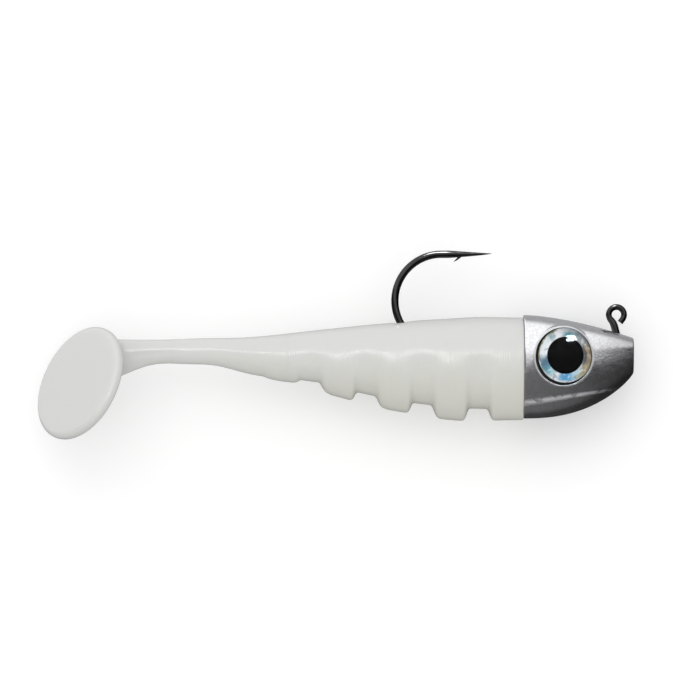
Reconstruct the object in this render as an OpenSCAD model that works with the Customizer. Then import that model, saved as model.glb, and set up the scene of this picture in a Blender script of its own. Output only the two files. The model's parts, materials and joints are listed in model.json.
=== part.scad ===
// Paddle-tail swimbait: a soft shad body rigged on a cast jig head with one jig hook.
// Frame: +X to the nose, +Z to the back, millimetres.
// The design plane x = 0 is where the head meets the body, and the hook shank runs along z = 0 there.
// The finished part is moved so that its origin is the centre of the line-tie loop.

/* [Head] */
// Head length, joint plane to flat nose
head_len = 18.4; // [17:0.1:22]
// Head height above the shank, at the joint plane
head_top = 5.4; // [5:0.1:6.5]
// Head depth below the shank, at the joint plane
head_bottom = 12; // [11:0.1:13.5]
// Head width at the joint plane
head_w = 11.5; // [11:0.1:13]
// Width of the flat nose
nose_w = 5; // [4:0.1:6]

/* [Eyes] */
// Eye diameter
eye_d = 9.15; // [8:0.05:9.2]
// Pupil diameter
pupil_d = 6.2; // [5:0.1:7]
// Height of the clear dome
dome_h = 1.35; // [0.8:0.05:1.8]
// Outside diameter of the raised cup that holds the eye
cup_d = 10.2; // [10.1:0.1:10.6]

/* [Jig hook] */
// Wire diameter of the shank and the bend
wire_d = 1.25; // [1:0.05:1.4]
// Wire diameter of the neck and the line-tie loop
tie_wire_d = 1.05; // [0.9:0.05:1.1]
// Radius of the bend, at the wire's centre
bend_r = 7.8; // [7.4:0.1:8.2]
// Distance of the bend's centre behind the joint plane
bend_back = 13.8; // [13:0.1:14.2]
// Length of the straight point beyond the bend
point_len = 8.5; // [7:0.1:10]
// Radius of the line-tie hole
tie_hole_r = 0.78; // [0.75:0.01:0.85]

/* [Soft body] */
// Width of the body at the joint plane
body_w = 11; // [10:0.1:11.4]
// Spacing of the belly ribs
rib_pitch = 9.42; // [9.3:0.02:9.5]
// Length of one belly rib
rib_len = 5.8; // [5:0.1:6.2]
// Thickness of the paddle
paddle_t = 1.8; // [1.4:0.1:2.2]
// Radius of the paddle
paddle_r = 10; // [8:0.1:11]
// Yaw of the paddle as it lies at rest, from its straight position
paddle_rest_yaw = 41.6; // [0:0.1:45]

/* [Hidden] */
$fn = 64;
clearance = 0.02;       // room round a cast-in or moulded-in piece
ring_n = 40;            // points round a lofted section
tall = 60;              // longer than any section is high

// Head outline: height of the nose's corners and of the widest line
nose_top = 1.55;
nose_bottom = -4.4;
head_widest_z = -1.6;
nose_widest_z = -0.5;
head_stations = 24;
head_roundness = 2.5;   // exponent of the head's sections; 2 is an ellipse
top_fall = 1.6;         // how late the head's top line drops
belly_fall = 2.4;       // how late its bottom line rises
belly_finish = 0.85;    // and how steeply it ends
side_fall = 2.3;        // how late its sides close in

body_roundness = 2.15;

// Body flex lines, as distances behind the joint plane, and the knuckle radius at each
rear_flex = 28;
stalk_flex = 50;
paddle_flex = 69.5;
rear_knuckle_r = 4.7;
stalk_knuckle_r = 2.5;
paddle_knuckle_r = 1.95;
flex_gap = 0.15;
overrun = 0.5;          // a loft runs this far past the surface that trims it

// Keeper: the barbed collar behind the head that holds the body on
keeper_len = 8.5;
keeper_r = 1.9;
barb_r = 2.7;
barb_len = 1.6;
barb_pitch = 3;

// Eye places, measured along the eye's own axis from the middle plane
eye_x = 5.8;
eye_z = -1.35;
eye_yaw = 9;
eye_forward = 0.27;     // each eye is glued against the front of its cup
cup_rim_h = 5.35;
socket_d = 9.75;
socket_h = 4.3;
pad_t = 0.2;
pad_inset = 0.15;       // the pad's edge stays this far inside the foil's
foil_t = 0.12;
pupil_t = 0.04;
cup_root_h = 2;

// Line tie: the loop stands over the nose, and the neck drops from it into the head
tie_x = 15.62;
tie_z = 5.46;
tie_land = 0.05;        // the hole's land is cut this far into the wire
tie_r = tie_hole_r + tie_wire_d / 2 - tie_land;
tie_start = 228;
tie_end = -65;
neck_lean = 25;         // lean of the neck from upright
neck_bend_r = 1.6;

// Paddle: its centre behind its flex line when straight, its height and its backward lean
paddle_back = 6.3;
paddle_z = -6;
paddle_lean = 21.7;
paddle_root_len = 4.2;  // the root runs this far behind the flex line, into the paddle

// Point of the hook, and its barb
point_taper = 0.8;      // share of the point's length that tapers
tip_r = 0.03;
hook_barb_back = 5.3;   // distance of its root behind the point's tip
hook_barb_len = 1.35;
hook_barb_drop = 1;     // how far its tip stands below its root
hook_barb_w = 0.5;
hook_barb_sink = 0.25;  // its root lies this far below the wire's centre
hook_barb_toe = [0.9, -0.1];

// --- Curves -------------------------------------------------------------------------------

// Body lines as [distance behind the joint plane, value]
BACK = [[0, 4.95], [8, 5.05], [16, 4.6], [24, 3.95], [32, 3.15], [40, 2.25], [47, 1.6], [54, 1.5],
        [60, 1.25], [66, 1.25], [76, 1.6]];
BELLY = [[0, 10.3], [8, 10.38], [17, 9.6], [26, 8.05], [35.5, 5.7], [40, 5.4], [45.7, 4.6],
         [51.7, 3.1], [56, 2.88], [62, 2.88], [66.5, 4.4], [70, 6.1], [76, 8.5]];
HALF_W = [[0, 1], [10, 0.99], [20, 0.89], [30, 0.735], [40, 0.54], [48, 0.36], [54, 0.25],
          [60, 0.215], [76, 0.225]];
WIDEST = [[0, -1.6], [20, -1.4], [40, -1.3], [54, -0.7], [76, -1]];
// Depth of each belly rib from the head backward, and how long its rear end takes to round off
RIB_DEPTH = [1.95, 2.15, 1.85, 1.65, 0.5];
RIB_REAR = [0.7, 1.2, 1.5, 1.8, 5.5];
rib_front_round = 0.8;

function slope(p, i) = let (a = max(i - 1, 0), b = min(i + 1, len(p) - 1))
    (p[b][1] - p[a][1]) / (p[b][0] - p[a][0]);
function span(p, d, i = 0) = i >= len(p) - 2 || d <= p[i + 1][0] ? i : span(p, d, i + 1);
// Smooth curve through control points, by cubic Hermite steps
function curve(p, d) = let (i = span(p, d), h = p[i + 1][0] - p[i][0], t = (d - p[i][0]) / h)
    p[i][1] * (1 + 2 * t) * pow(1 - t, 2) + slope(p, i) * h * t * pow(1 - t, 2)
    + p[i + 1][1] * t * t * (3 - 2 * t) + slope(p, i + 1) * h * t * t * (t - 1);

function corner(t) = t <= 0 ? 0 : t >= 1 ? 1 : sqrt(1 - pow(1 - t, 2));
function rib_rear(k) = rib_len + k * rib_pitch;
function rib_drop(d, k) = RIB_DEPTH[k] * min(corner((rib_rear(k) - d) / RIB_REAR[k]),
    k == 0 ? 1 : corner((d - rib_rear(k) + rib_len) / rib_front_round));
function rib(d) = max([for (k = [0 : len(RIB_DEPTH) - 1]) rib_drop(d, k)]);

// A section is [x, top, bottom, half width, height of the widest line, roundness exponent]
function body_section(d) =
    [-d, curve(BACK, d), -curve(BELLY, d) - rib(d), curve(HALF_W, d) * body_w / 2, curve(WIDEST, d),
     body_roundness];
function head_section(x) = let (u = x / head_len)
    [x, head_top - (head_top - nose_top) * pow(u, top_fall),
     -head_bottom + (head_bottom + nose_bottom) * (1 - pow(1 - pow(u, belly_fall), belly_finish)),
     nose_w / 2 + (head_w - nose_w) / 2 * (1 - pow(u, side_fall)),
     head_widest_z + (nose_widest_z - head_widest_z) * u, head_roundness];

function power(v, n) = sign(v) * pow(abs(v), 2 / n);
function section_point(s, a) = [s[0], s[3] * power(cos(a), s[5]),
    s[4] + (sin(a) > 0 ? s[1] - s[4] : s[4] - s[2]) * power(sin(a), s[5])];

// Where the rib ends need close sections, between two distances
function rib_edges(k) = let (rear = rib_rear(k), front = rear - rib_len, steps = [-0.01, 0.03, 0.12, 0.3, 0.6])
    concat([for (s = steps) front + s], [front + 1, rear - rib_len / 2, rear - 1.9],
           [for (i = [len(steps) - 1 : -1 : 0]) rear - 1.6 * steps[i]]);
function body_stations(from, to) = let (
    ribs = [for (k = [0 : len(RIB_DEPTH) - 1]) for (d = rib_edges(k)) d],
    last = ribs[len(ribs) - 1],
    inner = concat(ribs, [for (d = [last + 2 : 2 : 76]) d]))
    concat([from], [for (d = inner) if (d > from + 0.05 && d < to - 0.05) d], [to]);

// Solid through a row of sections, in order of rising x
module loft(sections) {
    n = ring_n;
    m = len(sections);
    points = [for (s = sections) for (i = [0 : n - 1]) section_point(s, 360 * i / n)];
    sides = [for (j = [0 : m - 2]) for (i = [0 : n - 1]) let (k = (i + 1) % n)
        each [[j * n + i, j * n + n + i, j * n + n + k], [j * n + i, j * n + n + k, j * n + k]]];
    polyhedron(points, concat([[for (i = [0 : n - 1]) i]], sides,
        [[for (i = [n - 1 : -1 : 0]) (m - 1) * n + i]]), convexity = 8);
}

module body_loft(from, to) {
    d = body_stations(from, to);
    loft([for (i = [len(d) - 1 : -1 : 0]) body_section(d[i])]);
}

// --- Soft body ----------------------------------------------------------------------------

module flex_cylinder(back, r) translate([-back, 0, -tall / 2]) cylinder(r = r, h = tall);

// What a segment loses at its front, so that it ends in a round knuckle about its flex line
module knuckle_trim(back, r) difference() {
    translate([-back, -tall / 2, -tall / 2]) cube([r + 2 * overrun, tall, tall]);
    flex_cylinder(back, r);
}

module body_front() color("ghostwhite") difference() {
    body_loft(0, rear_flex);
    flex_cylinder(rear_flex, rear_knuckle_r + flex_gap);
    keeper_shape(clearance);
    shank(keeper_len, bend_back, wire_d / 2 + clearance);
    bend(wire_d / 2 + clearance);
}

module body_rear() color("ghostwhite") difference() {
    body_loft(rear_flex - rear_knuckle_r - overrun, stalk_flex);
    knuckle_trim(rear_flex, rear_knuckle_r);
    flex_cylinder(stalk_flex, stalk_knuckle_r + flex_gap);
}

module tail_stalk() color("ghostwhite") difference() {
    body_loft(stalk_flex - stalk_knuckle_r - overrun, paddle_flex);
    knuckle_trim(stalk_flex, stalk_knuckle_r);
    flex_cylinder(paddle_flex, paddle_knuckle_r + flex_gap);
}

// Round paddle with a fully rounded rim, about its own axis
module paddle_disc() rotate_extrude()
    polygon(concat([[0, -paddle_t / 2]],
        [for (a = [-90 : 15 : 90]) [paddle_r - paddle_t / 2 + paddle_t / 2 * cos(a), paddle_t / 2 * sin(a)]],
        [[0, paddle_t / 2]]));

// Turns its children about the paddle's flex line, from straight to the rest position
module at_paddle_rest() translate([-paddle_flex, 0, 0]) rotate([0, 0, paddle_rest_yaw])
    translate([paddle_flex, 0, 0]) children();

module tail_paddle() color("ghostwhite") at_paddle_rest() {
    translate([-paddle_flex - paddle_back, 0, paddle_z]) rotate([0, -90 + paddle_lean, 0]) paddle_disc();
    difference() {
        body_loft(paddle_flex - paddle_knuckle_r - overrun, paddle_flex + paddle_root_len);
        knuckle_trim(paddle_flex, paddle_knuckle_r);
    }
}

// --- Head ---------------------------------------------------------------------------------

// Solid of revolution about the shank, from [distance behind the joint plane, radius] points
module about_shank(profile) rotate([0, -90, 0]) rotate_extrude() polygon([for (p = profile) [p[1], p[0]]]);

// Barbed collar; grow makes it bigger all round for the pocket in the body
module keeper_shape(grow = 0) about_shank(concat([[-1, 0], [-1, keeper_r + grow]],
    [for (k = [1 : 2]) each [[k * barb_pitch - grow, keeper_r + grow], [k * barb_pitch - grow, barb_r + grow],
                             [k * barb_pitch + barb_len, keeper_r + grow]]],
    [[keeper_len + grow, keeper_r + grow], [keeper_len + grow, 0]]));

// Puts children on the right side's eye axis, with local +Z pointing out; side -1 is the right, 1 the left
module at_eye(side) mirror([0, side > 0 ? 1 : 0, 0]) translate([eye_x, 0, eye_z])
    rotate([0, 0, eye_yaw]) rotate([90, 0, 0]) children();

module lead_head() color("slategray") difference() {
    union() {
        loft([for (i = [0 : head_stations]) head_section(head_len * i / head_stations)]);
        keeper_shape();
        for (side = [-1, 1]) at_eye(side)
            translate([0, 0, cup_root_h]) cylinder(d = cup_d, h = cup_rim_h - cup_root_h);
    }
    for (side = [-1, 1]) at_eye(side) translate([0, 0, socket_h]) cylinder(d = socket_d, h = cup_rim_h);
    shank(-neck_foot_x, keeper_len + overrun, wire_d / 2 + clearance);
    neck(tie_wire_d / 2 + clearance, wire_d / 2 + clearance);
}

// --- Eyes ---------------------------------------------------------------------------------

module eye_disc(side, d, from, t) at_eye(side) translate([eye_forward, 0, from]) cylinder(d = d, h = t);
foil_h = socket_h + pad_t;
dome_base = foil_h + foil_t;
dome_r = (pow(eye_d / 2, 2) + dome_h * dome_h) / (2 * dome_h);

module eye_pad(side) color("white") eye_disc(side, eye_d - 2 * pad_inset, socket_h, pad_t);
module eye_foil(side) color("lightsteelblue") eye_disc(side, eye_d, foil_h, foil_t);
module eye_pupil(side) color("black") eye_disc(side, pupil_d, dome_base, pupil_t);
// Clear resin cap with a shallow pocket over the pupil
module eye_dome(side) color([0.8, 0.9, 0.95, 0.4]) at_eye(side) translate([eye_forward, 0, dome_base])
    difference() {
        translate([0, 0, dome_h - dome_r]) sphere(r = dome_r);
        translate([0, 0, -2 * dome_r]) cylinder(r = 2 * dome_r, h = 2 * dome_r);
        translate([0, 0, -1]) cylinder(d = pupil_d, h = 1 + pupil_t);
    }

// --- Jig hook -----------------------------------------------------------------------------

// Arc of round wire in the middle plane; angles are measured from +X towards +Z
module wire_arc(x, z, r, from, to, wire_r) translate([x, 0, z]) rotate([90, 0, 0])
    rotate([0, 0, from]) rotate_extrude(angle = to - from) translate([r, 0]) circle(r = wire_r);

// Straight round wire in the middle plane, from (x, z) along an angle
module wire_line(x, z, angle, len, r1, r2) translate([x, 0, z]) rotate([0, 90 - angle, 0])
    cylinder(r1 = r1, r2 = r2, h = len);

// Straight shank between two distances behind the joint plane
module shank(from, to, r) wire_line(-to, 0, 0, to - from, r, r);
module bend(r) wire_arc(-bend_back, bend_r, bend_r, 90, 270, r);

// The neck leaves the shank by an arc and climbs back to the start of the loop
neck_up = 90 + neck_lean;                          // its direction, from +X
loop_x = tie_x + tie_r * cos(tie_start);
loop_z = tie_z + tie_r * sin(tie_start);
neck_len = (loop_z - neck_bend_r * (1 - cos(neck_up))) / sin(neck_up);
neck_top_x = loop_x - neck_len * cos(neck_up);     // where the neck's arc ends
neck_foot_x = neck_top_x - neck_bend_r * sin(neck_up);
module neck(r, shank_r) {
    wire_arc(neck_foot_x, neck_bend_r, neck_bend_r, -90, -90 + neck_up, shank_r);
    wire_line(neck_top_x, neck_bend_r * (1 - cos(neck_up)), neck_up, neck_len, r, r);
}

module hook_point() {
    taper = point_taper * point_len;
    wire_line(-bend_back, 2 * bend_r, 0, point_len - taper, wire_d / 2, wire_d / 2);
    wire_line(-bend_back + point_len - taper, 2 * bend_r, 0, taper, wire_d / 2, tip_r);
    root = -bend_back + point_len - hook_barb_back;
    translate([root, hook_barb_w / 2, 2 * bend_r - hook_barb_sink]) rotate([90, 0, 0])
        linear_extrude(hook_barb_w) polygon([[0, 0], [-hook_barb_len, -hook_barb_drop], hook_barb_toe]);
}

module jig_hook() color("black") difference() {
    union() {
        shank(-neck_foot_x, bend_back, wire_d / 2);
        bend(wire_d / 2);
        hook_point();
        neck(tie_wire_d / 2, wire_d / 2);
        wire_arc(tie_x, tie_z, tie_r, tie_end, tie_start, tie_wire_d / 2);
    }
    translate([tie_x, 0, tie_z]) rotate([90, 0, 0])
        cylinder(r = tie_hole_r, h = 2 * tie_wire_d, center = true);
}

// --- Assembly, with the origin at the centre of the line-tie loop ---------------------------

module placed() translate([-tie_x, 0, -tie_z]) children();

placed() lead_head();
placed() jig_hook();
placed() body_front();
placed() body_rear();
placed() tail_stalk();
placed() tail_paddle();
placed() eye_pad(-1);  // eye_pad_right
placed() eye_foil(-1);  // eye_foil_right
placed() eye_pupil(-1);  // eye_pupil_right
placed() eye_dome(-1);  // eye_dome_right
placed() eye_pad(1);  // eye_pad_left
placed() eye_foil(1);  // eye_foil_left
placed() eye_pupil(1);  // eye_pupil_left
placed() eye_dome(1);  // eye_dome_left
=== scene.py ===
"""Looks of the swimbait: white soft-plastic skin, cast lead head, black nickel jig hook, domed foil eyes.

Every size and place is read from the CAD frame. Units are metres; MM turns millimetres into metres.
The fish's right side faces the camera, which looks along +Y.
"""

import json
import math

import bmesh
import bpy
import numpy as np
from mathutils import Matrix, Vector
from mathutils.bvhtree import BVHTree


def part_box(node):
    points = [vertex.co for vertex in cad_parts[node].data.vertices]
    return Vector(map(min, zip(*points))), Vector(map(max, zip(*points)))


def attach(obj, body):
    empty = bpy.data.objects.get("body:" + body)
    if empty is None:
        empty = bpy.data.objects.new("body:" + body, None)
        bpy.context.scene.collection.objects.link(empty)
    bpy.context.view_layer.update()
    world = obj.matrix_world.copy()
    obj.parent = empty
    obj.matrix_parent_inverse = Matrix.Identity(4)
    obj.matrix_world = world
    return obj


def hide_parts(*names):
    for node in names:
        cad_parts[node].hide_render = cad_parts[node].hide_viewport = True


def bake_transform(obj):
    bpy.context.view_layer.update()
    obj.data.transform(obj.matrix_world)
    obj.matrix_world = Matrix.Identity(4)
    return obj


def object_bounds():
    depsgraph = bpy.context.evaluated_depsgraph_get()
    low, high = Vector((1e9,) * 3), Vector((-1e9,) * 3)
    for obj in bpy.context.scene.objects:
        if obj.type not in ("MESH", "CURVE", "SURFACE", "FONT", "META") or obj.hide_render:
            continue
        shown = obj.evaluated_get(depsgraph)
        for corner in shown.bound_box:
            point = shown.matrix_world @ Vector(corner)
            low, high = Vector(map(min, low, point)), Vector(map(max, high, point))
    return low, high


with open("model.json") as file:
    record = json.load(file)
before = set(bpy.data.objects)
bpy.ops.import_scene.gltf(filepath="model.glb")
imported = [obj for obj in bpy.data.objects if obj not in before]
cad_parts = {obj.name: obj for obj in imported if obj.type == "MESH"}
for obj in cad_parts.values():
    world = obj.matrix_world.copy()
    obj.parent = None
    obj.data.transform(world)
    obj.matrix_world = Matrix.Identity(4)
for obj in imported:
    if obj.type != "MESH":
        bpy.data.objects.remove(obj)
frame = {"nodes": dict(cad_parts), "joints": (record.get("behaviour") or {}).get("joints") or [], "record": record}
CAD_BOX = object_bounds()
MM = 0.001
SIDES = ("right", "left")

# --- Places, read from the CAD frame --------------------------------------------------------


def corners(node):
    """Vertices of a CAD node as an array of points."""
    return np.array([v.co for v in frame["nodes"][node].data.vertices], float)


def mean_normal(node, wanted):
    """Mean normal, by area, of a node's faces whose normal passes the wanted test."""
    total = Vector((0, 0, 0))
    for face in frame["nodes"][node].data.polygons:
        if wanted(face.normal):
            total += face.normal * face.area
    return total.normalized()


def rounded(normal):
    """A normal to two decimals, so that a flat face's triangles share it."""
    return tuple(round(c, 2) for c in normal)


def round_face(node, near):
    """(normal, centre, radius) of a node's round flat face that points near a direction."""
    areas = {}
    for face in frame["nodes"][node].data.polygons:
        if face.normal.dot(near) > 0.5:
            key = rounded(face.normal)
            areas[key] = areas.get(key, 0) + face.area
    largest = max(areas, key=areas.get)
    normal = mean_normal(node, lambda face_normal: rounded(face_normal) == largest)
    points = corners(node)
    heights = points @ np.array(normal)
    face_points = points[heights > heights.max() - 0.002 * MM]
    centre = normal * heights.max()
    across = normal.cross(Vector((0, 0, 1))).normalized()
    for axis in (across, normal.cross(across)):
        spans = face_points @ np.array(axis)
        centre += axis * (spans.min() + spans.max()) / 2
        radius = (spans.max() - spans.min()) / 2
    return normal, centre, radius


FLEX_X = {j["name"]: j["pos_m"][0] for j in frame["joints"]}
JOIN_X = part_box("body_front")[1].x           # plane where the head meets the body
JOINT_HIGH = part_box("body_front")[1].z       # top of the body there
BEND_DEPTH = 6 * MM                          # the soft body bends about lines this far below it
HOOK_LOW, HOOK_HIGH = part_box("jig_hook")

# The paddle's rear face gives its centre, size and lie
PADDLE_NORMAL, PADDLE_FACE, PADDLE_FLAT_R = round_face("tail_paddle", Vector((-0.7, -0.6, 0.4)))
PADDLE_LOW, PADDLE_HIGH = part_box("tail_paddle")
PADDLE_HALF_T = ((PADDLE_HIGH.z - PADDLE_LOW.z) / 2
                 - PADDLE_FLAT_R * math.sqrt(1 - PADDLE_NORMAL.z ** 2))
PADDLE_MIDDLE = PADDLE_FACE - PADDLE_NORMAL * PADDLE_HALF_T
PADDLE_YAW = math.atan2(-PADDLE_NORMAL.y, -PADDLE_NORMAL.x)      # turn from straight to rest


def turned(points, angle):
    """Points turned about the paddle's vertical flex line."""
    c, s = np.cos(angle), np.sin(angle)
    x, y = points[..., 0] - FLEX_X["paddle_flex"], points[..., 1]
    return np.stack([x * c - y * s + FLEX_X["paddle_flex"], x * s + y * c, points[..., 2]], -1)


# --- Mesh helpers ---------------------------------------------------------------------------


def smoothstep(low, high, value):
    """0 at low, 1 at high, with an even start and finish."""
    t = np.clip((value - low) / (high - low), 0, 1)
    return t * t * (3 - 2 * t)


def grid_faces(rows, ring):
    """Quads of a closed tube of rows of ring points each."""
    return [(r * ring + i, r * ring + (i + 1) % ring, (r + 1) * ring + (i + 1) % ring, (r + 1) * ring + i)
            for r in range(rows - 1) for i in range(ring)]


def tube(rows):
    """(points, faces) of a closed tube through rows of points; the ends close with fans."""
    count, ring = rows.shape[:2]
    points = [tuple(p) for p in rows.reshape(-1, 3)]
    faces = grid_faces(count, ring)
    for row, flip in ((0, False), (count - 1, True)):
        points.append(tuple(rows[row].mean(0)))
        hub, base = len(points) - 1, row * ring
        for i in range(ring):
            a, b = base + i, base + (i + 1) % ring
            faces.append((hub, a, b) if flip else (hub, b, a))
    return points, faces


def lathe(profile, ring=96):
    """(points, faces) of a closed solid turned about Z; the profile starts and ends on the axis."""
    inner = profile[1:-1]
    points = [(r * math.cos(a), r * math.sin(a), z) for r, z in inner
              for a in (2 * math.pi * i / ring for i in range(ring))]
    faces = grid_faces(len(inner), ring)
    for row, (_, z) in ((0, profile[0]), (len(inner) - 1, profile[-1])):
        points.append((0, 0, z))
        hub, base = len(points) - 1, row * ring
        faces += [(hub, base + i, base + (i + 1) % ring) for i in range(ring)]
    return points, faces


def build(name, parts, matrix=Matrix.Identity(4)):
    """A mesh object from one or more (points, faces) shells, with normals out, in place."""
    points, faces = [], []
    for part_points, part_faces in parts:
        offset = len(points)
        points += [matrix @ Vector(p) for p in part_points]
        faces += [tuple(i + offset for i in f) for f in part_faces]
    mesh = bpy.data.meshes.new(name)
    mesh.from_pydata(points, [], faces)
    shape = bmesh.new()
    shape.from_mesh(mesh)
    bmesh.ops.recalc_face_normals(shape, faces=shape.faces)
    shape.to_mesh(mesh)
    shape.free()
    made = bpy.data.objects.new(name, mesh)
    bpy.context.scene.collection.objects.link(made)
    return made


def apply_modifiers(made):
    """Bakes an object's modifiers into its mesh."""
    bpy.context.view_layer.update()
    graph = bpy.context.evaluated_depsgraph_get()
    mesh = bpy.data.meshes.new_from_object(made.evaluated_get(graph))
    made.modifiers.clear()
    made.data = mesh


def boolean(made, other, operation):
    """Joins or cuts made with other, which is used up."""
    step = made.modifiers.new("cut", "BOOLEAN")
    step.operation = operation
    step.object = other
    step.solver = "EXACT"
    apply_modifiers(made)
    bpy.data.objects.remove(other)


def remesh(made, voxel, smoothing):
    """Fuses a mesh into one even skin and rounds its edges."""
    step = made.modifiers.new("voxels", "REMESH")
    step.mode = "VOXEL"
    step.voxel_size = voxel
    soft = made.modifiers.new("soft", "SMOOTH")
    soft.factor = 0.5
    soft.iterations = smoothing
    apply_modifiers(made)


def finish_piece(made, material, body=None, replaces=(), sharp=40):
    """Shading, material, and the link to the CAD; keeps each point's rest place for the patterns."""
    made.data.polygons.foreach_set("use_smooth", [True] * len(made.data.polygons))
    made.data.set_sharp_from_angle(angle=math.radians(sharp))
    rest = made.data.attributes.new("rest", "FLOAT_VECTOR", "POINT")
    rest.data.foreach_set("vector", [c for v in made.data.vertices for c in v.co])
    made.data.materials.clear()
    made.data.materials.append(material)
    if body:
        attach(made, body)
    if replaces:
        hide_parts(*replaces)
    return made


# --- Material helper ------------------------------------------------------------------------


class Graph:
    """Builds nodes in a node tree. An input is a plain value or another node's output."""

    def __init__(self, tree):
        self.nodes = tree.nodes
        self.links = tree.links

    def node(self, kind, inputs, **settings):
        made = self.nodes.new("ShaderNode" + kind)
        for key, value in settings.items():
            setattr(made, key, value)
        for key, value in inputs.items():
            self.put(made, key, value)
        return made

    def put(self, node, key, value):
        if isinstance(value, bpy.types.NodeSocket):
            self.links.new(value, node.inputs[key])
        else:
            node.inputs[key].default_value = value

    def math(self, operation, a, b=0.0, c=0.0):
        return self.node("Math", {0: a, 1: b, 2: c}, operation=operation).outputs[0]

    def split(self, vector):
        return self.node("SeparateXYZ", {0: vector}).outputs

    def range(self, value, low, high, to_low=0.0, to_high=1.0, kind="SMOOTHSTEP"):
        return self.node("MapRange", {0: value, 1: low, 2: high, 3: to_low, 4: to_high},
                         interpolation_type=kind).outputs[0]

    def noise(self, vector, scale, detail=2.0, rough=0.5):
        return self.node("TexNoise", {"Vector": vector, "Scale": scale, "Detail": detail,
                                      "Roughness": rough}).outputs[0]

    def stretch(self, vector, x, y, z):
        return self.node("VectorMath", {0: vector, 1: (x, y, z)}, operation="MULTIPLY").outputs[0]

    def mix(self, factor, a, b):
        made = self.node("Mix", {0: factor}, data_type="RGBA")
        self.put(made, 6, a)
        self.put(made, 7, b)
        return made.outputs[2]

    def bump(self, height, distance, strength=1.0, normal=None):
        made = self.node("Bump", {"Height": height, "Distance": distance, "Strength": strength})
        if normal:
            self.links.new(normal, made.inputs["Normal"])
        return made.outputs[0]


class Finish(Graph):
    """One material's nodes, with its Principled shader and each point's rest place."""

    def __init__(self, name):
        self.material = bpy.data.materials.new(name)
        self.material.use_nodes = True
        super().__init__(self.material.node_tree)
        self.surface = self.nodes["Principled BSDF"]
        self.rest = self.node("Attribute", {}, attribute_name="rest").outputs["Vector"]

    def set(self, **inputs):
        """Principled inputs, with _ for a space."""
        for key, value in inputs.items():
            self.put(self.surface, key.replace("_", " "), value)


def rgb(r, g, b):
    """A colour in linear light, opaque."""
    return (r, g, b, 1.0)


# --- Soft body ------------------------------------------------------------------------------

SKIN_RING = 120                  # points round the skin
LINE_PITCH = 0.41 * MM           # spacing of the fine moulding lines
LINE_RISE = 0.022 * MM           # and how far they stand up
LINES_FULL = 24 * MM             # they are at their strongest from the head back to here
LINES_FADE = 50 * MM             # and at their weakest from here on
SKIN_STEP = LINE_PITCH / 4       # spacing of the skin's sections
SKIN_REACH = 30 * MM             # rays start this far out
RING_OFFSET = 0.31               # the ring's points stay clear of the CAD's edges, in shares of a step
SKIN_HARMONICS = 15              # shape detail kept round a section
RIB_PITCH = 9.42 * MM            # spacing of the belly ribs
RIB_SWELL = 0.20 * MM            # how far each rib's swell carries up the flank
SWELL_EVEN = 1.3 * MM            # smoothing of the swells along the body
RIB_ROUND = 0.24 * MM            # rounding of the ribs' edges
HEAD_GAP = 0.02 * MM             # between the skin and the head
BACK_EVEN = 1.5 * MM             # smoothing along the back line
BELLY_EVEN = 3 * MM              # along the belly line
FLANK_EVEN = 1.2 * MM            # and along the flanks and the back's skin
TUNNEL_ROOM = 1.0 * MM           # half length of the hook's exit hole, which the skin covers
SLOT_ROOM = 0.25 * MM            # half width of a flex slot at the skin, which it covers
SLOT_REACH = 5.5 * MM            # the slots are this round: they reach the skin this far from a flex line
DIMPLE_DEPTH = 0.15 * MM         # the back sinks this much where the hook comes out
DIMPLE_WIDTH = 1.1 * MM          # round about this far
EXIT_AHEAD = 1.6 * MM            # the hook comes out this far ahead of its bend's rear
FRONT_EDGE = 0.25 * MM           # radius of the body's edge next to the head
ROOT_BEND = 2.6 * MM             # the paddle's root starts to bend this far ahead of its flex line
ROOT_SAMPLED = 1.2 * MM          # its skin follows the CAD to here past the line, then runs on to the disc
ROOT_STEPS = 14


def soft_tree():
    """Ray target of the whole soft body, with the paddle's root turned back in line."""
    points, faces = [], []
    for node in ("body_front", "body_rear", "tail_stalk", "tail_paddle"):
        offset = len(points)
        own = corners(node)
        if node == "tail_paddle":
            own = turned(own, -PADDLE_YAW)
        points += [tuple(p) for p in own]
        faces += [[i + offset for i in f.vertices] for f in frame["nodes"][node].data.polygons]
    return BVHTree.FromPolygons(points, faces)


def close_gaps(radii, half_window):
    """Fills dips that are narrower than a window along the body."""
    reach = max(1, round(half_window / SKIN_STEP))
    padded = np.pad(radii, ((reach, reach), (0, 0)), mode="edge")
    high = np.max([padded[i:i + len(radii)] for i in range(2 * reach + 1)], axis=0)
    padded = np.pad(high, ((reach, reach), (0, 0)), mode="edge")
    return np.min([padded[i:i + len(radii)] for i in range(2 * reach + 1)], axis=0)


def soften(values, width):
    """Gaussian smoothing along the body; its ends keep their slope."""
    reach = int(4 * width / SKIN_STEP) + 1
    offsets = np.arange(-reach, reach + 1) * SKIN_STEP
    weights = np.exp(-0.5 * (offsets / width) ** 2)
    weights /= weights.sum()
    low = 2 * values[:1] - values[reach:0:-1]
    high = 2 * values[-1:] - values[-2:-reach - 2:-1]
    padded = np.concatenate([low, values, high])
    return sum(w * padded[i:i + len(values)] for i, w in enumerate(weights))


def smooth_round(radii):
    """Removes the CAD's facets round each section."""
    parts = np.fft.rfft(radii, axis=1)
    orders = np.arange(parts.shape[1])
    parts *= np.exp(-(orders / SKIN_HARMONICS) ** 4)
    return np.fft.irfft(parts, radii.shape[1], axis=1)


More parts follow.
